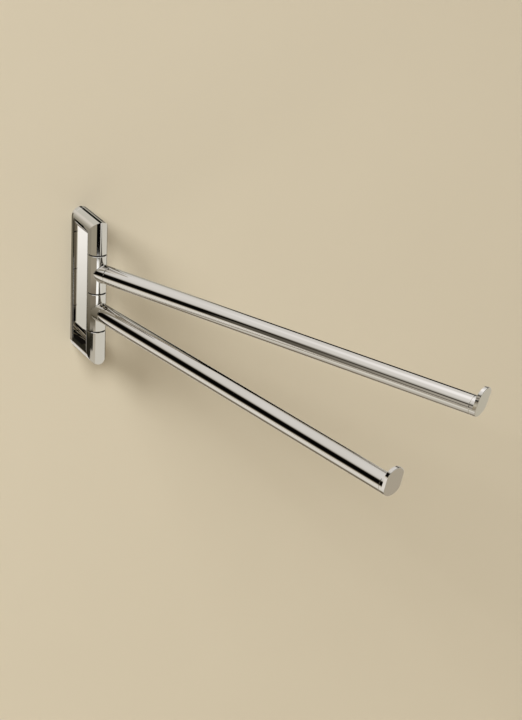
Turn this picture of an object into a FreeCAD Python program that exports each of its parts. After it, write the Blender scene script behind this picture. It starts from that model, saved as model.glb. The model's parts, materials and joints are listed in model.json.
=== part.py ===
import FreeCAD, Part
import math
import os
import re

import Sketcher

# Double swing-arm towel bar for a wall.
# Frame: the wall is the plane Y = 0 and the object stands out towards -Y; +X is to the right, +Z up.
# The origin is the middle of the wall plate's back face.

os.makedirs("parts", exist_ok=True)
doc = FreeCAD.newDocument("swing_arm_towel_bar")

# ------------------------------------------------------------------ driving dimensions (mm, degrees)

sheet = doc.addObject("Spreadsheet::Sheet", "dims")
sheet_rows = 0


def cell(name, content):
    """Write one named row of the sheet: a number, or a formula of other rows."""
    global sheet_rows
    sheet_rows += 1
    sheet.set("A%d" % sheet_rows, name)
    sheet.set("B%d" % sheet_rows, str(content))
    sheet.setAlias("B%d" % sheet_rows, name)


# Outline that the eye sees.
cell("bar_diameter", 16)
cell("column_diameter", 17)
cell("axis_stand", 36)
cell("arm_rise", 58)
cell("hub_pitch", 35.6)
cell("groove_gap", 1)
cell("neck_reach", 14)
cell("neck_margin", 1)
cell("bar_lift", 0.7)
cell("tube_length", 373.5)
cell("upper_swing", 23.8)
cell("lower_swing", 9.5)

# Wall plate and the two posts that the frame slides onto.
cell("plate_thickness", 5)
cell("plate_edge_radius", 0.6)
cell("post_diameter", 12)
cell("post_length", 16.5)
cell("post_spigot_diameter", 8)
cell("post_groove_depth", 0.8)
cell("post_groove_width", 4)
cell("post_end_clearance", 0.5)
cell("wall_screw_hole", 4.6)
cell("wall_screw_head_hole", 8.8)
cell("wall_screw_head_depth", 5)
cell("set_screw_diameter", 4)
cell("set_screw_recess", 0.4)
cell("set_screw_socket", 2)
cell("set_screw_socket_depth", 1.2)

# Pivot.
cell("spindle_diameter", 8)
cell("spindle_upper_depth", 14)
cell("spindle_lower_depth", 12)
cell("running_clearance", 0.05)
cell("end_gap", 0.5)
cell("bush_diameter", 11)
cell("bush_length", 10)
cell("hub_bore_diameter", 9)
cell("washer_diameter", 15)
cell("spring_diameter", 12.4)
cell("spring_height", 0.9)
cell("spring_thickness", 0.4)
cell("spring_recess_diameter", 13)
cell("spring_clearance", 0.15)
cell("clamp_screw_diameter", 5)
cell("clamp_screw_engagement", 7)
cell("clamp_head_diameter", 8.5)
cell("clamp_head_height", 5)
cell("clamp_head_depth", 7)
cell("clamp_socket", 4)
cell("clamp_socket_depth", 2.5)
cell("clamp_hole_clearance", 0.25)
cell("clamp_head_clearance", 0.55)

# Bars.
cell("tube_wall", 1.5)
cell("stud_diameter", 8)
cell("stud_hub_depth", 7)
cell("stud_length", 21)
cell("insert_length", 18)
cell("cap_spigot_length", 15)
cell("cap_reach", 6.5)
cell("stop_height", 26)
cell("stop_thickness", 3.3)
cell("stop_tilt", 14)
cell("stop_edge_radius", 0.4)
cell("saddle_radius", 0.8)
cell("edge_chamfer", 0.3)
cell("mitre_margin", 2)

# Worked out from the rows above.
cell("bar_radius", "=bar_diameter / 2")
cell("column_radius", "=column_diameter / 2")
cell("neck_radius", "=(column_diameter - neck_margin) / 2")
cell("hub_half", "=(hub_pitch - groove_gap) / 2")
cell("frame_start", "=hub_pitch + groove_gap / 2")
cell("mitre_reach", "=column_radius + mitre_margin")
cell("tube_bore_radius", "=bar_radius - tube_wall")
cell("tube_end", "=neck_reach + tube_length")
cell("post_end", "=plate_thickness + post_length")
cell("post_middle", "=plate_thickness + post_length / 2")
cell("spindle_radius", "=spindle_diameter / 2")
cell("spindle_top", "=frame_start + spindle_upper_depth")
cell("spindle_bottom", "=-(frame_start + spindle_lower_depth)")
cell("frame_bottom", "=-(arm_rise + column_radius)")
cell("clamp_seat", "=frame_bottom + clamp_head_depth")
cell("clamp_tip", "=spindle_bottom + clamp_screw_engagement")
cell("set_screw_tip", "=post_diameter / 2 - post_groove_depth")
doc.recompute()

WALL_NORMAL = FreeCAD.Vector(0, 1, 0)
UP = FreeCAD.Vector(0, 0, 1)
SIDES = ("upper", "lower")
# A point closer to a surface than this counts as on it.
NEAR = 0.01
EDGE_SAMPLES = 5

# ------------------------------------------------------------------ helpers


def bound(text):
    """Turn bare row names into references to the sheet."""
    return re.sub(r"\b([a-z]+(?:_[a-z]+)+)\b", r"dims.\1", text)


def value(text):
    """Present value of a formula of row names."""
    return float(sheet.evalExpression(bound(text)))


def tie(thing, **formulas):
    """Bind properties to formulas; a double underscore in a key stands for a dot."""
    for key, text in formulas.items():
        thing.setExpression(key.replace("__", "."), bound(text))


def signed(side, text):
    """A height above the middle on the upper side, the same distance below it on the lower side."""
    return text if side == "upper" else "-(%s)" % text


def new_body(label):
    body = doc.addObject("PartDesign::Body", label)
    body.Label = label
    return body


def origin_plane(body, role):
    return next(f for f in body.Origin.OriginFeatures if f.Role == role)


def new_sketch(body, role, name):
    sketch = body.newObject("Sketcher::SketchObject", body.Name + "_" + name)
    sketch.AttachmentSupport = [(origin_plane(body, role), "")]
    sketch.MapMode = "FlatFace"
    return sketch


def lift(sketch, up):
    """Raise a sketch, and its own axes with it, within its plane."""
    sketch.setExpression("AttachmentOffset.Base.y", bound(up))
    return sketch


def fix_point(sketch, geometry, end, across, up):
    """Hold one end of a line at a point given by two formulas."""
    for kind, axis, text in (("DistanceX", -2, across), ("DistanceY", -1, up)):
        if text == "0":
            sketch.addConstraint(Sketcher.Constraint("PointOnObject", geometry, end, axis))
            continue
        index = sketch.addConstraint(Sketcher.Constraint(kind, -1, 1, geometry, end, value(text)))
        sketch.setExpression("Constraints[%d]" % index, bound(text))


def outline(body, role, name, points):
    """Closed sketch of straight lines through points, each a pair of formulas."""
    sketch = new_sketch(body, role, name)
    places = [FreeCAD.Vector(value(across), value(up), 0) for across, up in points]
    count = len(points)
    for i in range(count):
        sketch.addGeometry(Part.LineSegment(places[i], places[(i + 1) % count]))
    for i in range(count):
        sketch.addConstraint(Sketcher.Constraint("Coincident", i, 2, (i + 1) % count, 1))
    for i, (across, up) in enumerate(points):
        fix_point(sketch, i, 1, across, up)
    return sketch


def circle(body, role, name, radius, up="0"):
    """Sketch of one circle, with its centre on the sketch's vertical axis."""
    sketch = new_sketch(body, role, name)
    index = sketch.addGeometry(Part.Circle(FreeCAD.Vector(0, value(up), 0), UP, value(radius)))
    fix_point(sketch, index, 3, "0", up)
    constraint = sketch.addConstraint(Sketcher.Constraint("Radius", index, value(radius)))
    sketch.setExpression("Constraints[%d]" % constraint, bound(radius))
    return sketch


def oblong(body, role, name, radius, high, low):
    """Sketch of two half circles, one above the other, joined by straight sides."""
    sketch = new_sketch(body, role, name)
    half = value(radius)
    top = FreeCAD.Vector(0, value(high), 0)
    bottom = FreeCAD.Vector(0, value(low), 0)
    across = FreeCAD.Vector(half, 0, 0)
    sketch.addGeometry(Part.ArcOfCircle(Part.Circle(top, UP, half), 0, math.pi))
    sketch.addGeometry(Part.LineSegment(top - across, bottom - across))
    sketch.addGeometry(Part.ArcOfCircle(Part.Circle(bottom, UP, half), math.pi, 2 * math.pi))
    sketch.addGeometry(Part.LineSegment(bottom + across, top + across))
    for first in range(4):
        sketch.addConstraint(Sketcher.Constraint("Tangent", first, 2, (first + 1) % 4, 1))
    fix_point(sketch, 0, 3, "0", high)
    fix_point(sketch, 2, 3, "0", low)
    constraint = sketch.addConstraint(Sketcher.Constraint("Radius", 0, half))
    sketch.setExpression("Constraints[%d]" % constraint, bound(radius))
    return sketch


def turn(body, sketch, axis, kind="PartDesign::Revolution"):
    """Turn a closed sketch a full circle about its own H_Axis or V_Axis."""
    feature = body.newObject(kind, sketch.Name + "_turned")
    feature.Profile = sketch
    feature.ReferenceAxis = (sketch, [axis])
    feature.Angle = 360
    sketch.Visibility = False
    return feature


def extrude(body, sketch, kind, length, reverse=False, both=False):
    """Pad or pocket a sketch by a length given as a formula."""
    feature = body.newObject(kind, sketch.Name + "_extruded")
    feature.Profile = sketch
    feature.Reversed = reverse
    feature.Midplane = both
    feature.setExpression("Length", bound(length))
    sketch.Visibility = False
    return feature


def turned_piece(label, role, axis, points):
    """A piece made on a lathe: one closed outline about one axis."""
    body = new_body(label)
    turn(body, outline(body, role, "profile", points), axis)
    return body


def vertical_ring(label, outer, inner, low, high):
    """Round ring about the Z axis between two heights."""
    section = [(inner, low), (outer, low), (outer, high), (inner, high)]
    return turned_piece(label, "XZ_Plane", "V_Axis", section)


def place(piece, across="0", out="0", up="0", swing="0", facing=UP):
    """Seat a piece: out from the wall, turned by swing about +Z, its own Z axis facing a direction."""
    turned = FreeCAD.Rotation(UP, value(swing)) * FreeCAD.Rotation(UP, facing)
    piece.Placement = FreeCAD.Placement(FreeCAD.Vector(value(across), -value(out), value(up)), turned)
    tie(piece, Placement__Base__x=across, Placement__Base__y="-(%s)" % out, Placement__Base__z=up)
    if swing != "0":
        tie(piece, Placement__Rotation__Angle=swing)


def round_edges(body, kind, size_name, on_edge):
    """Fillet or chamfer each edge of the body's present shape along which a test of a point holds."""
    doc.recompute()
    base = body.Tip
    names = [
        "Edge%d" % number
        for number, edge in enumerate(base.Shape.Edges, 1)
        if all(on_edge(point) for point in edge.discretize(Number=EDGE_SAMPLES))
    ]
    if not names:
        raise RuntimeError("%s has no such edge" % body.Label)
    feature = body.newObject(kind, body.Name + "_edges")
    feature.Base = (base, names)
    size = "Radius" if kind.endswith("Fillet") else "Size"
    feature.setExpression(size, bound(size_name))
    return feature


pieces = []


def keep(piece):
    pieces.append(piece)
    return piece


# ------------------------------------------------------------------ wall plate


def make_wall_plate():
    """Flat plate, flush with the arms at its arched ends, with a hole for each post's spigot."""
    body = new_body("wall_plate")
    rim = oblong(body, "XZ_Plane", "outline", "column_radius", "arm_rise", "-arm_rise")
    extrude(body, rim, "PartDesign::Pad", "plate_thickness")
    front = -value("plate_thickness")
    round_edges(body, "PartDesign::Fillet", "plate_edge_radius", lambda point: abs(point.y - front) < NEAR)
    for side in SIDES:
        hole = circle(body, "XZ_Plane", side + "_hole", "post_spigot_diameter / 2", signed(side, "arm_rise"))
        extrude(body, hole, "PartDesign::Pocket", "plate_thickness", reverse=True)
    return keep(body)


make_wall_plate()

# ------------------------------------------------------------------ posts


def make_post(side):
    """Turned post: a spigot pressed into the plate, a body for the frame, a hidden wall screw's seat."""
    groove = "(post_diameter / 2 - post_groove_depth)"
    body = turned_piece(
        side + "_post",
        "YZ_Plane",
        "H_Axis",
        [
            ("0", "wall_screw_hole / 2"),
            ("-(post_end - wall_screw_head_depth)", "wall_screw_hole / 2"),
            ("-(post_end - wall_screw_head_depth)", "wall_screw_head_hole / 2"),
            ("-post_end", "wall_screw_head_hole / 2"),
            ("-post_end", "post_diameter / 2 - edge_chamfer"),
            ("-(post_end - edge_chamfer)", "post_diameter / 2"),
            ("-(post_middle + post_groove_width / 2)", "post_diameter / 2"),
            ("-(post_middle + post_groove_width / 2)", groove),
            ("-(post_middle - post_groove_width / 2)", groove),
            ("-(post_middle - post_groove_width / 2)", "post_diameter / 2"),
            ("-plate_thickness", "post_diameter / 2"),
            ("-plate_thickness", "post_spigot_diameter / 2"),
            ("0", "post_spigot_diameter / 2"),
        ],
    )
    place(body, up=signed(side, "arm_rise"))
    return keep(body)


for post_side in SIDES:
    make_post(post_side)

# ------------------------------------------------------------------ frame: two mitred round bars


def cylinder(name, radius, height, facing, out="0", up="0"):
    """Plain cylinder from a point, with its axis facing along a world direction."""
    solid = doc.addObject("Part::Cylinder", name)
    tie(solid, Radius=radius, Height=height)
    place(solid, out=out, up=up, facing=facing)
    return solid


def combine(kind, name, first, second):
    result = doc.addObject(kind, name)
    result.Base = first
    result.Tool = second
    return result


def wedge(name, points):
    """Prism right across the frame, drawn from its side; a point is (distance from the wall, height)."""
    body = new_body(name)
    side_view = outline(body, "YZ_Plane", "side", [("-(%s)" % out, up) for out, up in points])
    extrude(body, side_view, "PartDesign::Pad", "2 * mitre_reach", both=True)
    return body


def mitred_bar(name, side):
    """Round bar that comes out of the plate and turns into the column at a 45 degree mitre."""
    away = UP if side == "upper" else -UP
    far = "axis_stand + mitre_reach"
    close = "axis_stand - mitre_reach"
    high = signed(side, "arm_rise + mitre_reach")
    low = signed(side, "arm_rise - mitre_reach")
    start = signed(side, "frame_start + edge_chamfer")
    column = cylinder(
        name + "_column",
        "column_radius",
        "arm_rise + mitre_reach - frame_start - edge_chamfer",
        away,
        out="axis_stand",
        up=start,
    )
    arm = cylinder(
        name + "_arm",
        "column_radius",
        "axis_stand + mitre_reach - plate_thickness",
        -WALL_NORMAL,
        out="plate_thickness",
        up=signed(side, "arm_rise"),
    )
    column_side = wedge(name + "_column_side", [(far, high), (close, low), (close, start), (far, start)])
    arm_side = wedge(
        name + "_arm_side", [(far, high), (close, low), ("plate_thickness", low), ("plate_thickness", high)]
    )
    tip = doc.addObject("Part::Cone", name + "_tip")
    tie(tip, Radius1="column_radius - edge_chamfer", Radius2="column_radius", Height="edge_chamfer")
    place(tip, out="axis_stand", up=signed(side, "frame_start"), facing=away)
    mitred_column = combine("Part::Common", name + "_mitred_column", column, column_side)
    mitred_arm = combine("Part::Common", name + "_mitred_arm", arm, arm_side)
    bar = combine("Part::Fuse", name + "_bar", mitred_column, mitred_arm)
    return combine("Part::Fuse", name + "_solid", bar, tip)


def drill(name, solid, holes):
    """Cut a list of cylinders from a solid, one after another."""
    for number, hole in enumerate(holes):
        solid = combine("Part::Cut", "%s_drilled_%d" % (name, number), solid, hole)
    return solid


def frame_holes(name, side):
    """Holes that both halves of the frame have: the post's bore and the set screw's tapped hole."""
    post_bore = cylinder(
        name + "_post_bore",
        "post_diameter / 2 + running_clearance",
        "post_length + post_end_clearance",
        -WALL_NORMAL,
        out="plate_thickness",
        up=signed(side, "arm_rise"),
    )
    screw_hole = cylinder(
        name + "_screw_hole",
        "set_screw_diameter / 2",
        "column_radius",
        -UP,
        out="post_middle",
        up=signed(side, "arm_rise"),
    )
    return [post_bore, screw_hole]


def finish(solid, label):
    solid.Label = label
    return keep(solid)


def make_upper_frame():
    name = "upper_frame"
    holes = frame_holes(name, "upper")
    holes.append(
        cylinder(
            name + "_spindle_bore",
            "spindle_radius",
            "spindle_upper_depth",
            UP,
            out="axis_stand",
            up="frame_start",
        )
    )
    return finish(drill(name, mitred_bar(name, "upper"), holes), name)


def make_lower_frame():
    name = "lower_frame"
    below = -UP
    holes = frame_holes(name, "lower")
    holes.append(
        cylinder(
            name + "_spindle_bore",
            "spindle_radius + running_clearance",
            "spindle_lower_depth + end_gap",
            below,
            out="axis_stand",
            up="-frame_start",
        )
    )
    holes.append(
        cylinder(
            name + "_spring_recess",
            "spring_recess_diameter / 2",
            "spring_height",
            below,
            out="axis_stand",
            up="-frame_start",
        )
    )
    holes.append(
        cylinder(
            name + "_clamp_hole",
            "clamp_screw_diameter / 2 + clamp_hole_clearance",
            "arm_rise",
            below,
            out="axis_stand",
            up="spindle_bottom",
        )
    )
    holes.append(
        cylinder(
            name + "_clamp_recess",
            "clamp_head_diameter / 2 + clamp_head_clearance",
            "arm_rise",
            below,
            out="axis_stand",
            up="clamp_seat",
        )
    )
    return finish(drill(name, mitred_bar(name, "lower"), holes), name)


make_upper_frame()
make_lower_frame()

# ------------------------------------------------------------------ set screws under the arms


def hexagon(body, role, name, across_flats):
    """Regular hexagon about the sketch's origin, its size given across the flats."""
    half = "(%s) / 2" % across_flats
    point = "(%s) / sqrt(3)" % across_flats
    side = "(%s) / sqrt(3) / 2" % across_flats
    corners = [(point, "0"), (side, half), ("-" + side, half)]
    corners += [("-" + point, "0"), ("-" + side, "-" + half), (side, "-" + half)]
    return outline(body, role, name, corners)


def make_set_screws():
    """One headless screw under each arm, each pressing into its post's groove."""
    screws = []
    for side in SIDES:
        body = new_body(side + "_set_screw")
        radius = "set_screw_diameter / 2"
        low = "-(column_radius - set_screw_recess)"
        profile = outline(
            body,
            "XZ_Plane",
            "profile",
            [
                ("0", low),
                (radius, low),
                (radius, "-(set_screw_tip + edge_chamfer)"),
                (radius + " - edge_chamfer", "-set_screw_tip"),
                ("0", "-set_screw_tip"),
            ],
        )
        turn(body, profile, "V_Axis")
        socket = hexagon(body, "XY_Plane", "socket", "set_screw_socket")
        socket.setExpression("AttachmentOffset.Base.z", bound(low))
        extrude(body, socket, "PartDesign::Pocket", "set_screw_socket_depth", reverse=True)
        place(body, out="post_middle", up=signed(side, "arm_rise"))
        screws.append(body)
    group = doc.addObject("Part::Compound", "post_set_screws")
    group.Links = screws
    group.Label = "post_set_screws"
    return keep(group)


make_set_screws()

# ------------------------------------------------------------------ pivot


def make_spindle():
    """Fixed pin through both hubs, screwed into the upper frame and tapped at its lower end."""
    hole = "clamp_screw_diameter / 2"
    depth = "(clamp_tip + edge_chamfer)"
    body = turned_piece(
        "pivot_spindle",
        "XZ_Plane",
        "V_Axis",
        [
            ("0", depth),
            (hole, depth),
            (hole, "spindle_bottom"),
            ("spindle_radius - edge_chamfer", "spindle_bottom"),
            ("spindle_radius", "spindle_bottom + edge_chamfer"),
            ("spindle_radius", "spindle_top - edge_chamfer"),
            ("spindle_radius - edge_chamfer", "spindle_top"),
            ("0", "spindle_top"),
        ],
    )
    place(body, out="axis_stand")
    return keep(body)


def make_clamp_screw():
    """Socket screw from below, which pulls the lower frame up against the stack."""
    body = turned_piece(
        "spindle_clamp_screw",
        "XZ_Plane",
        "V_Axis",
        [
            ("0", "clamp_seat - clamp_head_height"),
            ("clamp_head_diameter / 2 - edge_chamfer", "clamp_seat - clamp_head_height"),
            ("clamp_head_diameter / 2", "clamp_seat - clamp_head_height + edge_chamfer"),
            ("clamp_head_diameter / 2", "clamp_seat"),
            ("clamp_screw_diameter / 2", "clamp_seat"),
            ("clamp_screw_diameter / 2", "clamp_tip - edge_chamfer"),
            ("clamp_screw_diameter / 2 - edge_chamfer", "clamp_tip"),
            ("0", "clamp_tip"),
        ],
    )
    socket = hexagon(body, "XY_Plane", "socket", "clamp_socket")
    socket.setExpression("AttachmentOffset.Base.z", bound("clamp_seat - clamp_head_height"))
    extrude(body, socket, "PartDesign::Pocket", "clamp_socket_depth", reverse=True)
    place(body, out="axis_stand")
    return keep(body)


def make_thrust_washers():
    """Dark washers that fill the three grooves of the column, set back from its surface."""
    for label, middle in (("top", "hub_pitch"), ("middle", "0"), ("bottom", "-hub_pitch")):
        body = vertical_ring(
            label + "_thrust_washer",
            "washer_diameter / 2",
            "spindle_radius + running_clearance",
            middle + " - groove_gap / 2",
            middle + " + groove_gap / 2",
        )
        place(body, out="axis_stand")
        keep(body)


def make_disc_spring():
    """Cone-shaped spring washer in the lower frame's recess, which keeps the hubs stiff to turn."""
    floor = "(-frame_start - spring_height)"
    inner = "spindle_radius + spring_clearance"
    body = turned_piece(
        "disc_spring",
        "XZ_Plane",
        "V_Axis",
        [
            ("spring_diameter / 2", floor),
            ("spring_diameter / 2", floor + " + spring_thickness"),
            (inner, "-frame_start"),
            (inner, "-frame_start - spring_thickness"),
        ],
    )
    place(body, out="axis_stand")
    return keep(body)


make_spindle()
make_clamp_screw()
make_thrust_washers()
make_disc_spring()

# ------------------------------------------------------------------ swing arms
# Each arm's pieces are drawn with the bar along -Y, then turned to its swing. The bar's axis lies a little
# above the middle of its hub.


def make_hub(side):
    """Round hub with seats for two bushes, and a neck with a tapped hole for the bar's stud.

    The neck leaves the hub a little narrower than the column and meets the bar at the bar's own size.
    """
    body = new_body(side + "_hub")
    shell = [
        ("0", "-hub_half"),
        ("column_radius - edge_chamfer", "-hub_half"),
        ("column_radius", "-hub_half + edge_chamfer"),
        ("column_radius", "hub_half - edge_chamfer"),
        ("column_radius - edge_chamfer", "hub_half"),
        ("0", "hub_half"),
    ]
    turn(body, outline(body, "XZ_Plane", "shell", shell), "V_Axis")
    neck = [
        ("0", "0"),
        ("0", "neck_radius"),
        ("-(column_radius + saddle_radius)", "neck_radius"),
        ("-(neck_reach - edge_chamfer)", "bar_radius"),
        ("-neck_reach", "bar_radius - edge_chamfer"),
        ("-neck_reach", "0"),
    ]
    turn(body, lift(outline(body, "YZ_Plane", "neck", neck), "bar_lift"), "H_Axis")

    hub_radius = value("column_radius")
    neck_radius = value("neck_radius")
    neck_height = value("bar_lift")

    def saddle(point):
        """On the curve where the neck meets the hub's round face."""
        on_hub = abs(math.hypot(point.x, point.y) - hub_radius) < NEAR
        on_neck = abs(math.hypot(point.x, point.z - neck_height) - neck_radius) < NEAR
        return on_hub and on_neck

    round_edges(body, "PartDesign::Fillet", "saddle_radius", saddle)
    seat = "(hub_half - bush_length)"
    bore = [
        ("0", "-hub_half"),
        ("bush_diameter / 2", "-hub_half"),
        ("bush_diameter / 2", "-" + seat),
        ("hub_bore_diameter / 2", "-" + seat),
        ("hub_bore_diameter / 2", seat),
        ("bush_diameter / 2", seat),
        ("bush_diameter / 2", "hub_half"),
        ("0", "hub_half"),
    ]
    turn(body, outline(body, "XZ_Plane", "bore", bore), "V_Axis", "PartDesign::Groove")
    tapped = [
        ("-stud_hub_depth", "0"),
        ("-stud_hub_depth", "stud_diameter / 2"),
        ("-neck_reach", "stud_diameter / 2"),
        ("-neck_reach", "0"),
    ]
    turn(body, lift(outline(body, "YZ_Plane", "tapped", tapped), "bar_lift"), "H_Axis", "PartDesign::Groove")
    return body


def make_bushes(side):
    """Two plain bushes, one pressed into each end of the hub."""
    inner = "spindle_radius + running_clearance"
    outer = "bush_diameter / 2"
    top = vertical_ring(side + "_hub_top_bush", outer, inner, "hub_half - bush_length", "hub_half")
    low = vertical_ring(side + "_hub_bottom_bush", outer, inner, "-hub_half", "-hub_half + bush_length")
    return [top, low]


def make_stud(side):
    """Threaded stud that draws the bar against the hub's neck."""
    far = "-(stud_hub_depth + stud_length)"
    radius = "stud_diameter / 2"
    return turned_piece(
        side + "_stud",
        "YZ_Plane",
        "H_Axis",
        [
            ("-stud_hub_depth", "0"),
            ("-stud_hub_depth", radius + " - edge_chamfer"),
            ("-(stud_hub_depth + edge_chamfer)", radius),
            (far + " + edge_chamfer", radius),
            (far, radius + " - edge_chamfer"),
            (far, "0"),
        ],
    )


def make_tube_insert(side):
    """Tapped plug brazed into the bar's root."""
    far = "-(neck_reach + insert_length)"
    return turned_piece(
        side + "_tube_insert",
        "YZ_Plane",
        "H_Axis",
        [
            ("-neck_reach", "stud_diameter / 2"),
            ("-neck_reach", "tube_bore_radius"),
            (far, "tube_bore_radius"),
            (far, "stud_diameter / 2"),
        ],
    )


def make_tube(side):
    """The bar itself: a plain round tube with its end corners broken."""
    return turned_piece(
        side + "_tube",
        "YZ_Plane",
        "H_Axis",
        [
            ("-neck_reach", "tube_bore_radius"),
            ("-neck_reach", "bar_radius - edge_chamfer"),
            ("-(neck_reach + edge_chamfer)", "bar_radius"),
            ("-(tube_end - edge_chamfer)", "bar_radius"),
            ("-tube_end", "bar_radius - edge_chamfer"),
            ("-tube_end", "tube_bore_radius"),
        ],
    )


def slanted_cut(body, name, reach, far):
    """Remove, right across the body, what lies from a leaning plane to an upright one.

    The leaning plane is reach out from the seam at the bar's axis; far is the upright plane's place.
    """
    lean = "stop_height * tan(stop_tilt)"
    points = [
        ("-(%s + %s)" % (reach, lean), "stop_height"),
        ("-(%s - %s)" % (reach, lean), "-stop_height"),
        (far, "-stop_height"),
        (far, "stop_height"),
    ]
    side_view = outline(body, "YZ_Plane", name, points)
    extrude(body, side_view, "PartDesign::Pocket", "4 * bar_diameter", both=True)


def make_end_cap(side):
    """Cap with a collar and a leaning oblong stop, whose foot is flush with the bar's underside."""
    body = new_body(side + "_end_cap")
    slab = oblong(body, "XZ_Plane", "stop", "bar_radius", "stop_height - bar_diameter", "0")
    extrude(body, slab, "PartDesign::Pad", "cap_reach + stop_height")
    slanted_cut(body, "behind", "(cap_reach - stop_thickness / cos(stop_tilt))", "stop_height")
    collar = circle(body, "XZ_Plane", "collar", "bar_radius")
    extrude(body, collar, "PartDesign::Pad", "cap_reach + bar_radius")
    slanted_cut(body, "front", "cap_reach", "-2 * (cap_reach + stop_height)")
    slope = value("tan(stop_tilt)")
    reach = value("cap_reach")

    def on_outer_face(point):
        return abs(point.y + slope * point.z + reach) < NEAR

    def on_seam(point):
        return abs(point.y) < NEAR

    round_edges(body, "PartDesign::Fillet", "stop_edge_radius", on_outer_face)
    round_edges(body, "PartDesign::Chamfer", "edge_chamfer", on_seam)
    spigot = circle(body, "XZ_Plane", "spigot", "tube_bore_radius")
    extrude(body, spigot, "PartDesign::Pad", "cap_spigot_length", reverse=True)
    return body


def make_arm(side):
    swing = side + "_swing"
    hub_height = signed(side, "hub_pitch / 2")
    bar_height = hub_height + " + bar_lift"
    for piece in [make_hub(side)] + make_bushes(side):
        place(piece, out="axis_stand", up=hub_height, swing=swing)
        keep(piece)
    for piece in (make_stud(side), make_tube_insert(side), make_tube(side)):
        place(piece, out="axis_stand", up=bar_height, swing=swing)
        keep(piece)
    cap = make_end_cap(side)
    place(
        cap,
        across="sin(%s) * tube_end" % swing,
        out="axis_stand + cos(%s) * tube_end" % swing,
        up=bar_height,
        swing=swing,
    )
    keep(cap)


for arm_side in SIDES:
    make_arm(arm_side)

# ------------------------------------------------------------------ check and write

doc.recompute()
for thing in doc.Objects:
    if "Invalid" in thing.State or "Error" in thing.State:
        raise RuntimeError("%s did not build: %s" % (thing.Label, thing.State))
for piece in pieces:
    if piece.Shape.isNull() or not piece.Shape.isValid():
        raise RuntimeError("%s has no valid shape" % piece.Label)
for piece in pieces:
    piece.Shape.exportStep("parts/%s.step" % piece.Label)
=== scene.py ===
import json
import math

import bpy
from mathutils import Matrix, Vector

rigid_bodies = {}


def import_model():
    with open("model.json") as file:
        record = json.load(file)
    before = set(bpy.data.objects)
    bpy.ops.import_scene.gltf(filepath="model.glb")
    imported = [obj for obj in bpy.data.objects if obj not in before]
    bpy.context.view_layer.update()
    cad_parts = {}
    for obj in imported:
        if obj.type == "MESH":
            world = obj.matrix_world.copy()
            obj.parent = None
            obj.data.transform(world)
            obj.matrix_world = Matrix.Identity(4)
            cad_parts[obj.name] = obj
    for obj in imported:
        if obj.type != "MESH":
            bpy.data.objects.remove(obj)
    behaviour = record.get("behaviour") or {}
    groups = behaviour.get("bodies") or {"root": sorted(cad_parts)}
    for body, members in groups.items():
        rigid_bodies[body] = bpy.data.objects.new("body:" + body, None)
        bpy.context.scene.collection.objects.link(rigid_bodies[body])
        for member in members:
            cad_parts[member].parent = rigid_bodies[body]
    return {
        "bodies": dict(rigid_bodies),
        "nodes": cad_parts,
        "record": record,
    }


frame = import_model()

# Nothing but the frame is in the scene to start with.
own = set(frame["nodes"].values()) | set(frame["bodies"].values())
for other in set(bpy.data.objects) - own:
    bpy.data.objects.remove(other)

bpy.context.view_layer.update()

# All lengths are in metres. The wall is the plane Y = 0, and the object stands out towards -Y.

# ------------------------------------------------------------------ materials

# The sRGB curve: a straight foot up to a knee, then a power.
SRGB_KNEE, SRGB_FOOT_SLOPE = 0.04045, 12.92
SRGB_OFFSET, SRGB_POWER = 0.055, 2.4

# Noise seldom leaves this span.
NOISE_LOW, NOISE_HIGH = 0.3, 0.7


def linear(*tone):
    """A display colour, 0 to 1, as the linear colour that shaders use."""
    return tuple(
        c / SRGB_FOOT_SLOPE if c <= SRGB_KNEE else ((c + SRGB_OFFSET) / (1 + SRGB_OFFSET)) ** SRGB_POWER
        for c in tone
    ) + (1.0,)


class Surface:
    """A material of one principled shader, with helpers for the detail that feeds it."""

    def __init__(self, name):
        self.material = bpy.data.materials.new(name)
        self.material.use_nodes = True
        self.nodes = self.material.node_tree.nodes
        self.links = self.material.node_tree.links
        self.shader = self.nodes["Principled BSDF"]
        self.place = self.nodes.new("ShaderNodeTexCoord").outputs["Object"]

    def put(self, **sockets):
        """Set sockets of the shader by name."""
        for key, setting in sockets.items():
            self.shader.inputs[key].default_value = setting

    def noise(self, scale, detail=3.0, stretch=(1.0, 1.0, 1.0)):
        """Noise in the object's own metres; scale is waves per metre."""
        mapping = self.nodes.new("ShaderNodeMapping")
        mapping.inputs["Scale"].default_value = stretch
        self.links.new(self.place, mapping.inputs["Vector"])
        texture = self.nodes.new("ShaderNodeTexNoise")
        texture.inputs["Scale"].default_value = scale
        texture.inputs["Detail"].default_value = detail
        self.links.new(mapping.outputs["Vector"], texture.inputs["Vector"])
        return texture.outputs["Fac"]

    def roughen(self, source, low, high):
        """Let a noise move the roughness between two values."""
        span = self.nodes.new("ShaderNodeMapRange")
        span.inputs["From Min"].default_value = NOISE_LOW
        span.inputs["From Max"].default_value = NOISE_HIGH
        span.inputs["To Min"].default_value = low
        span.inputs["To Max"].default_value = high
        self.links.new(source, span.inputs["Value"])
        self.links.new(span.outputs["Result"], self.shader.inputs["Roughness"])

    def tint(self, source, first, second):
        """Let a noise move the colour between two tones."""
        ramp = self.nodes.new("ShaderNodeValToRGB")
        for stop, position, tone in zip(ramp.color_ramp.elements, (NOISE_LOW, NOISE_HIGH), (first, second)):
            stop.position = position
            stop.color = tone
        self.links.new(source, ramp.inputs["Fac"])
        self.links.new(ramp.outputs["Color"], self.shader.inputs["Base Color"])

    def relief(self, source, depth, strength):
        """Fine relief; depth is in metres."""
        bump = self.nodes.new("ShaderNodeBump")
        bump.inputs["Distance"].default_value = depth
        bump.inputs["Strength"].default_value = strength
        self.links.new(source, bump.inputs["Height"])
        self.links.new(bump.outputs["Normal"], self.shader.inputs["Normal"])


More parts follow.
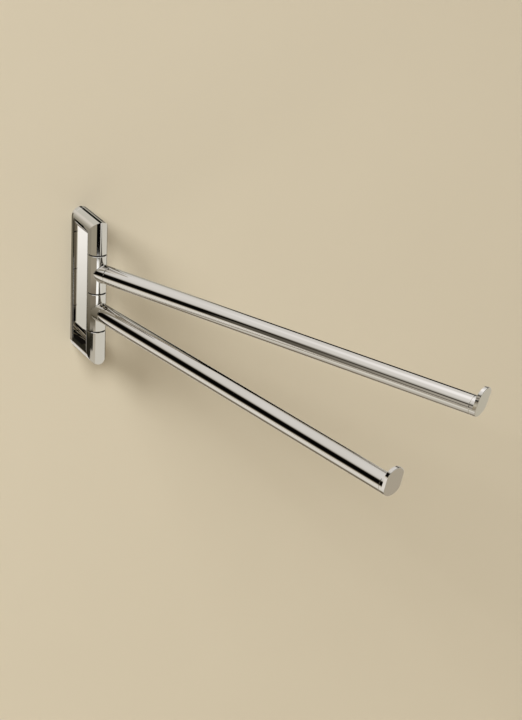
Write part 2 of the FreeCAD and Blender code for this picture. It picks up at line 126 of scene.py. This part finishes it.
def polished_nickel():
    """Buffed plating: a warm grey mirror with slow waviness and a faint, uneven haze."""
    metal = Surface("polished_nickel")
    metal.put(Metallic=1.0)
    metal.tint(metal.noise(14.0), linear(0.905, 0.887, 0.855), linear(0.925, 0.909, 0.881))
    metal.roughen(metal.noise(45.0, detail=6.0), 0.012, 0.03)
    metal.relief(metal.noise(120.0, detail=2.0), 0.00002, 0.12)
    return metal.material


def stainless_steel():
    """Turned steel with fine tool marks round it."""
    metal = Surface("stainless_steel")
    metal.put(Metallic=1.0)
    metal.tint(metal.noise(60.0), linear(0.76, 0.76, 0.75), linear(0.82, 0.82, 0.81))
    metal.roughen(metal.noise(300.0, detail=4.0), 0.22, 0.38)
    metal.relief(metal.noise(900.0, stretch=(1.0, 1.0, 6.0)), 0.00003, 0.3)
    return metal.material


def raw_brass():
    """Machined brass, a little dulled."""
    metal = Surface("raw_brass")
    metal.put(Metallic=1.0)
    metal.tint(metal.noise(80.0), linear(0.85, 0.72, 0.42), linear(0.88, 0.78, 0.5))
    metal.roughen(metal.noise(250.0, detail=4.0), 0.25, 0.42)
    metal.relief(metal.noise(700.0), 0.00003, 0.3)
    return metal.material


def acetal(name, dark, light):
    """Moulded bearing plastic with a fine dull grain."""
    plastic = Surface(name)
    plastic.tint(plastic.noise(90.0), dark, light)
    plastic.roughen(plastic.noise(400.0, detail=4.0), 0.42, 0.6)
    plastic.relief(plastic.noise(2200.0), 0.00002, 0.35)
    return plastic.material


finishes = {
    "polished_nickel": polished_nickel(),
    "stainless_steel": stainless_steel(),
    "raw_brass": raw_brass(),
    "black_acetal": acetal("black_acetal", linear(0.06, 0.057, 0.052), linear(0.1, 0.095, 0.088)),
    "ivory_acetal": acetal("ivory_acetal", linear(0.88, 0.86, 0.8), linear(0.92, 0.9, 0.85)),
}

for part in frame["record"]["subparts"]:
    node = frame["nodes"][part["node"]]
    node.data.materials.clear()
    node.data.materials.append(finishes[part["material_slot"]])

# ------------------------------------------------------------------ stage: wall and floor

# How far the wall reaches to each side and up, and how far down the floor is.
STAGE_REACH = 1.6
FLOOR_DROP = 1.1

# The wall lies just behind the plate's back, so that the two faces don't fight.
WALL_GAP = 0.0004


def sheet_of(name, corners):
    """One flat face through four corners."""
    mesh = bpy.data.meshes.new(name)
    mesh.from_pydata(corners, [], [(0, 1, 2, 3)])
    made = bpy.data.objects.new(name, mesh)
    bpy.context.scene.collection.objects.link(made)
    return made


def plaster(name, first, second):
    """Matt painted plaster with a faint mottle."""
    paint = Surface(name)
    paint.put(Roughness=0.9)
    paint.tint(paint.noise(3.0, detail=6.0), first, second)
    paint.relief(paint.noise(260.0, detail=4.0), 0.0004, 0.12)
    return paint


wall_paint = plaster("wall_paint", linear(0.797, 0.763, 0.681), linear(0.807, 0.773, 0.691))

# From behind, the wall is clear to the camera, so that the object's back can be seen.
clear = wall_paint.nodes.new("ShaderNodeBsdfTransparent")
facing = wall_paint.nodes.new("ShaderNodeNewGeometry")
wall_ray = wall_paint.nodes.new("ShaderNodeLightPath")
both = wall_paint.nodes.new("ShaderNodeMath")
both.operation = "MULTIPLY"
choose = wall_paint.nodes.new("ShaderNodeMixShader")
wall_paint.links.new(facing.outputs["Backfacing"], both.inputs[0])
wall_paint.links.new(wall_ray.outputs["Is Camera Ray"], both.inputs[1])
wall_paint.links.new(both.outputs["Value"], choose.inputs["Fac"])
wall_paint.links.new(wall_paint.shader.outputs["BSDF"], choose.inputs[1])
wall_paint.links.new(clear.outputs["BSDF"], choose.inputs[2])
wall_paint.links.new(choose.outputs["Shader"], wall_paint.nodes["Material Output"].inputs["Surface"])

wall = sheet_of(
    "wall",
    [
        (-STAGE_REACH, WALL_GAP, -FLOOR_DROP),
        (STAGE_REACH, WALL_GAP, -FLOOR_DROP),
        (STAGE_REACH, WALL_GAP, STAGE_REACH),
        (-STAGE_REACH, WALL_GAP, STAGE_REACH),
    ],
)
wall.data.materials.append(wall_paint.material)

floor = sheet_of(
    "floor",
    [
        (-STAGE_REACH, -2 * STAGE_REACH, -FLOOR_DROP),
        (STAGE_REACH, -2 * STAGE_REACH, -FLOOR_DROP),
        (STAGE_REACH, WALL_GAP, -FLOOR_DROP),
        (-STAGE_REACH, WALL_GAP, -FLOOR_DROP),
    ],
)
floor_paint = plaster("floor_paint", linear(0.86, 0.84, 0.79), linear(0.87, 0.85, 0.8))
floor.data.materials.append(floor_paint.material)

# The metal mirrors the studio round it, not the stage.
for staged in (wall, floor):
    staged.visible_glossy = False

# ------------------------------------------------------------------ light: what the metal mirrors

NICKEL_TONE = linear(0.915, 0.898, 0.868)


def mirrored_as(*tone):
    """The studio tone that the nickel shows as the given display tone."""
    return tuple(bright / loss for bright, loss in zip(linear(*tone), NICKEL_TONE))


# The studio round the object, by direction. Turns go from +X and heights from level, in degrees.
QUARTER_TURN, HALF_TURN = 90.0, 180.0

# Each row is (height, display tone in the nickel). On the wall's side there are a pale sheet, a black gap and a
# pale sheet again.
WALL_SIDE_BANDS = [
    (-90, (0.74, 0.72, 0.68)),
    (-56, (0.70, 0.67, 0.62)),
    (-46, (0.79, 0.77, 0.72)),
    (-25, (0.85, 0.82, 0.78)),
    (-20, (0.83, 0.80, 0.75)),
    (-18, (0.76, 0.73, 0.67)),
    (-14, (0.54, 0.50, 0.43)),
    (-10, (0.26, 0.23, 0.18)),
    (-6, (0.07, 0.06, 0.04)),
    (-3, (0.01, 0.01, 0.01)),
    (17, (0.02, 0.02, 0.01)),
    (21.5, (0.08, 0.07, 0.05)),
    (23.5, (0.28, 0.26, 0.22)),
    (26, (0.53, 0.50, 0.45)),
    (29, (0.69, 0.67, 0.63)),
    (36, (0.79, 0.77, 0.74)),
    (54, (0.82, 0.80, 0.77)),
    (62, (0.93, 0.91, 0.89)),
    (90, (0.90, 0.89, 0.87)),
]
# To the left, between the wall's side and the room, everything is in half shade.
LEFT_BANDS = [
    (-90, (0.62, 0.60, 0.56)),
    (-30, (0.62, 0.59, 0.53)),
    (-24.5, (0.71, 0.68, 0.62)),
    (-22.3, (0.57, 0.53, 0.46)),
    (-20.7, (0.58, 0.55, 0.48)),
    (-18, (0.46, 0.43, 0.38)),
    (-11, (0.32, 0.30, 0.26)),
    (-6, (0.32, 0.30, 0.26)),
    (6, (0.32, 0.30, 0.26)),
    (13, (0.20, 0.18, 0.15)),
    (17, (0.22, 0.20, 0.17)),
    (21, (0.43, 0.41, 0.37)),
    (27, (0.70, 0.68, 0.64)),
    (36, (0.78, 0.76, 0.73)),
    (62, (0.86, 0.84, 0.82)),
    (90, (0.90, 0.89, 0.87)),
]
# Towards the room there is a pale ground, then the dark room, then the pale ceiling.
ROOM_SIDE_BANDS = [
    (-90, (0.56, 0.52, 0.46)),
    (-46, (0.63, 0.59, 0.52)),
    (-36, (0.69, 0.66, 0.59)),
    (-25, (0.77, 0.75, 0.70)),
    (-19, (0.77, 0.75, 0.70)),
    (8, (0.64, 0.62, 0.57)),
    (19, (0.14, 0.13, 0.11)),
    (26, (0.03, 0.03, 0.02)),
    (40, (0.04, 0.04, 0.03)),
    (56, (0.78, 0.76, 0.73)),
    (90, (0.90, 0.89, 0.87)),
]
# The middle turn, half width and softness of the two sides that aren't the room.
WALL_SIDE = (112, 60, 2)
LEFT_SIDE = (206, 36.7, 0.6)

# Smaller things: (middle turn, half width, its softness, lowest, highest, their softness, display tone in the nickel).
STUDIO_PATCHES = [
    # The shaded ground below the wall's side.
    (85, 31, 7, -61, -35, 3, (0.44, 0.40, 0.33)),
    (85, 31, 7, -90, -60, 3, (0.56, 0.53, 0.47)),
    # What the upper arm mirrors: a thin black line, its pale neighbour and a pale sheet with a black end.
    (54.7, 3.6, 0.4, -19, 21, 1.5, (0.01, 0.01, 0.01)),
    (62, 3, 0.8, -8, 17, 2, (0.62, 0.60, 0.54)),
    (97, 20, 3, 9, 34, 4, (0.75, 0.73, 0.68)),
    (69.7, 4.7, 1, 18, 28.5, 1, (0.01, 0.01, 0.01)),
    # A paler end to the black gap on the left.
    (182, 8.5, 3, -9, 10, 3, (0.62, 0.59, 0.54)),
    # The bright sheet that the plate mirrors, and the dark above it.
    (294, 7, 3, -22, -8, 1.6, (0.96, 0.94, 0.91)),
    (297, 13, 3, 4, 45, 5, (0.04, 0.03, 0.03)),
    # The column's left half darkens in steps towards its foot.
    (203, 33, 1, -22.9, -22.3, 0.3, (0.47, 0.43, 0.37)),
    (203, 32, 1, -23.5, -22.9, 0.25, (0.35, 0.32, 0.26)),
    (155, 59, 2, -24.15, -23.6, 0.05, (0.14, 0.13, 0.10)),
    (130, 52, 4, -24.35, -24.13, 0.03, (0.02, 0.02, 0.02)),
    # The black line down the column's top, and the bright one below it.
    (258.5, 20, 0.5, -21.6, 4, 0.1, (0.01, 0.01, 0.01)),
    (253, 11, 2, -22.9, -21.65, 0.1, (0.98, 0.97, 0.95)),
]

# What the matt surfaces are lit by, and what the camera sees past the stage.
ROOM_TONE = linear(0.42, 0.35, 0.25)
BACKGROUND_TONE = linear(0.9, 0.88, 0.83)

world = bpy.data.worlds.new("studio")
bpy.context.scene.world = world
world.use_nodes = True
tree = world.node_tree
tree.nodes.clear()


def feed(socket, source):
    """Give a socket either another node's output or a plain value."""
    if isinstance(source, bpy.types.NodeSocket):
        tree.links.new(source, socket)
    else:
        socket.default_value = source


def worked(operation, *sources):
    """One sum of the world's node tree."""
    node = tree.nodes.new("ShaderNodeMath")
    node.operation = operation
    for socket, source in zip(node.inputs, sources):
        feed(socket, source)
    return node.outputs["Value"]


def mixed(share, under, over):
    """One colour laid over another by a share."""
    node = tree.nodes.new("ShaderNodeMixRGB")
    feed(node.inputs["Fac"], share)
    feed(node.inputs["Color1"], under)
    feed(node.inputs["Color2"], over)
    return node.outputs["Color"]


def rising(source, middle, soft):
    """0 below the middle, 1 above it, with a soft step."""
    node = tree.nodes.new("ShaderNodeMapRange")
    node.interpolation_type = "SMOOTHSTEP"
    feed(node.inputs["Value"], source)
    node.inputs["From Min"].default_value = middle - soft
    node.inputs["From Max"].default_value = middle + soft
    return node.outputs["Result"]


def falling(source, middle, soft):
    """1 below the middle, 0 above it, with a soft step."""
    return worked("SUBTRACT", 1.0, rising(source, middle, soft))


def round_from(middle, half, soft):
    """1 within an angle of the middle turn, either way round."""
    apart = worked("WRAP", worked("SUBTRACT", turn, middle), HALF_TURN, -HALF_TURN)
    return falling(worked("ABSOLUTE", apart), half, soft)


def ramp_of(nodes, tones):
    """A colour ramp from the first row of (place, display tone in the nickel) to the last."""
    node = nodes.new("ShaderNodeValToRGB")
    stops = node.color_ramp.elements
    first, last = tones[0][0], tones[-1][0]
    while len(stops) < len(tones):
        stops.new(0.5)
    for stop, (place, tone) in zip(stops, tones):
        stop.position = (place - first) / (last - first)
        stop.color = mirrored_as(*tone)
    return node


def banded(bands):
    """Tones by height angle, from straight down to straight up."""
    node = ramp_of(tree.nodes, bands)
    feed(node.inputs["Fac"], worked("DIVIDE", worked("ADD", height, QUARTER_TURN), HALF_TURN))
    return node.outputs["Color"]


toward = tree.nodes.new("ShaderNodeTexCoord")
split = tree.nodes.new("ShaderNodeSeparateXYZ")
feed(split.inputs["Vector"], toward.outputs["Generated"])
turn = worked("DEGREES", worked("ARCTAN2", split.outputs["Y"], split.outputs["X"]))
height = worked("DEGREES", worked("ARCSINE", split.outputs["Z"]))

studio = mixed(round_from(*WALL_SIDE), banded(ROOM_SIDE_BANDS), banded(WALL_SIDE_BANDS))
studio = mixed(round_from(*LEFT_SIDE), studio, banded(LEFT_BANDS))
for middle, half, side_soft, low, high, soft, tone in STUDIO_PATCHES:
    across_it = round_from(middle, half, side_soft)
    up_it = worked("MULTIPLY", rising(height, low, soft), falling(height, high, soft))
    studio = mixed(worked("MULTIPLY", across_it, up_it), studio, mirrored_as(*tone))

ray = tree.nodes.new("ShaderNodeLightPath")
lit = mixed(ray.outputs["Is Glossy Ray"], ROOM_TONE, studio)
shown = mixed(ray.outputs["Is Camera Ray"], lit, BACKGROUND_TONE)
background = tree.nodes.new("ShaderNodeBackground")
feed(background.inputs["Color"], shown)
world_output = tree.nodes.new("ShaderNodeOutputWorld")
feed(world_output.inputs["Surface"], background.outputs["Background"])

# Cards beside the bracket stand for the shaded wall that its own sides mirror. Each one stands in a plane of
# constant X: (name, X, near Y, far Y, rows of height Z and display tone in the nickel from its foot to its top).
CARDS = [
    (
        "left_card",
        -0.02,
        -0.0378,
        0.06,
        [
            (-0.082, (0.62, 0.58, 0.52)),
            (-0.075, (0.60, 0.56, 0.50)),
            (-0.071, (0.15, 0.14, 0.11)),
            (-0.049, (0.14, 0.13, 0.10)),
            (-0.044, (0.25, 0.23, 0.18)),
            (-0.034, (0.36, 0.33, 0.27)),
            (0.0, (0.48, 0.45, 0.39)),
            (0.025, (0.54, 0.51, 0.44)),
            (0.054, (0.53, 0.50, 0.44)),
            (0.064, (0.70, 0.67, 0.61)),
            (0.07, (0.80, 0.77, 0.72)),
            (0.082, (0.80, 0.77, 0.72)),
        ],
    ),
    (
        "rim_card",
        -0.0125,
        -0.0172,
        0.0058,
        [
            (-0.055, (0.07, 0.06, 0.05)),
            (0.055, (0.02, 0.02, 0.01)),
        ],
    ),
    (
        "side_card",
        -0.0125,
        0.0048,
        0.014,
        [
            (-0.062, (0.54, 0.50, 0.44)),
            (0.0, (0.43, 0.40, 0.33)),
            (0.062, (0.38, 0.35, 0.29)),
        ],
    ),
    (
        "right_card",
        0.02,
        -0.0335,
        -0.012,
        [
            (-0.075, (0.05, 0.05, 0.04)),
            (-0.047, (0.07, 0.06, 0.05)),
            (-0.041, (0.36, 0.33, 0.28)),
            (0.075, (0.44, 0.41, 0.35)),
        ],
    ),
]


def card_paper(name, tones):
    """A paper that glows in its own tones and lights nothing."""
    paper = bpy.data.materials.new(name)
    paper.use_nodes = True
    paper.cycles.emission_sampling = "NONE"
    nodes, links = paper.node_tree.nodes, paper.node_tree.links
    nodes.clear()
    place = nodes.new("ShaderNodeTexCoord")
    axes = nodes.new("ShaderNodeSeparateXYZ")
    rise = nodes.new("ShaderNodeMapRange")
    rise.inputs["From Min"].default_value = tones[0][0]
    rise.inputs["From Max"].default_value = tones[-1][0]
    ramp = ramp_of(nodes, tones)
    glow = nodes.new("ShaderNodeEmission")
    out = nodes.new("ShaderNodeOutputMaterial")
    links.new(place.outputs["Object"], axes.inputs["Vector"])
    links.new(axes.outputs["Z"], rise.inputs["Value"])
    links.new(rise.outputs["Result"], ramp.inputs["Fac"])
    links.new(ramp.outputs["Color"], glow.inputs["Color"])
    links.new(glow.outputs["Emission"], out.inputs["Surface"])
    return paper


for name, x, near, far, tones in CARDS:
    foot, top = tones[0][0], tones[-1][0]
    card = sheet_of(name, [(x, near, foot), (x, far, foot), (x, far, top), (x, near, top)])
    card.data.materials.append(card_paper(name, tones))
    # Only the metal sees it.
    card.visible_camera = False
    card.visible_diffuse = False
    card.visible_shadow = False
    card.visible_transmission = False

# ------------------------------------------------------------------ light: the lamps

# They shine at the middle of the bars' shadow: (name, direction to the lamp, distance, size, watts).
LIT_POINT = Vector((0.12, 0.0, -0.08))
LAMPS = [
    ("key_softbox", (-0.36, -0.73, 0.58), 8.0, 2.6, 370.0),
    ("side_softbox", (-0.71, -0.34, 0.62), 7.2, 2.0, 450.0),
]
for name, direction, distance, size, watts in LAMPS:
    lamp = bpy.data.lights.new(name, "AREA")
    lamp.shape = "SQUARE"
    lamp.size = size
    lamp.energy = watts
    softbox = bpy.data.objects.new(name, lamp)
    from_point = Vector(direction).normalized() * distance
    softbox.location = LIT_POINT + from_point
    softbox.rotation_euler = (-from_point).to_track_quat("-Z", "Y").to_euler()
    softbox.visible_glossy = False
    bpy.context.scene.collection.objects.link(softbox)

# ------------------------------------------------------------------ camera

IMAGE_WIDTH, IMAGE_HEIGHT = 522, 720
SENSOR = 36.0
LENS = 104.44
CAMERA_TURN = math.radians(29.61)
CAMERA_PITCH = math.radians(24.246)
CAMERA_ROLL = math.radians(3.058)
CLIP_NEAR, CLIP_FAR = 0.05, 20.0

# A point of the object, the pixel at which it lies, and how far ahead of the camera it is.
AIM = Vector((0.0, -0.036, 0.0))
AIM_ACROSS, AIM_DOWN = 96.5, 291.25
CAMERA_REACH = 1.8192

forward = Vector(
    (
        math.sin(CAMERA_TURN) * math.cos(CAMERA_PITCH),
        math.cos(CAMERA_TURN) * math.cos(CAMERA_PITCH),
        -math.sin(CAMERA_PITCH),
    )
)
level = Vector((math.cos(CAMERA_TURN), -math.sin(CAMERA_TURN), 0.0))
upright = level.cross(forward)
right = math.cos(CAMERA_ROLL) * level + math.sin(CAMERA_ROLL) * upright
up = math.cos(CAMERA_ROLL) * upright - math.sin(CAMERA_ROLL) * level

per_pixel = SENSOR / LENS / IMAGE_HEIGHT * CAMERA_REACH
across = (AIM_ACROSS - IMAGE_WIDTH / 2) * per_pixel
down = (AIM_DOWN - IMAGE_HEIGHT / 2) * per_pixel
eye = AIM - across * right + down * up - CAMERA_REACH * forward

camera_data = bpy.data.cameras.new("camera")
camera_data.lens = LENS
camera_data.sensor_width = SENSOR
camera_data.clip_start = CLIP_NEAR
camera_data.clip_end = CLIP_FAR
camera = bpy.data.objects.new("camera", camera_data)
turned = Matrix((right, up, -forward)).transposed().to_4x4()
camera.matrix_world = Matrix.Translation(eye) @ turned
bpy.context.scene.collection.objects.link(camera)
bpy.context.scene.camera = camera
bpy.context.scene.view_settings.view_transform = "Standard"
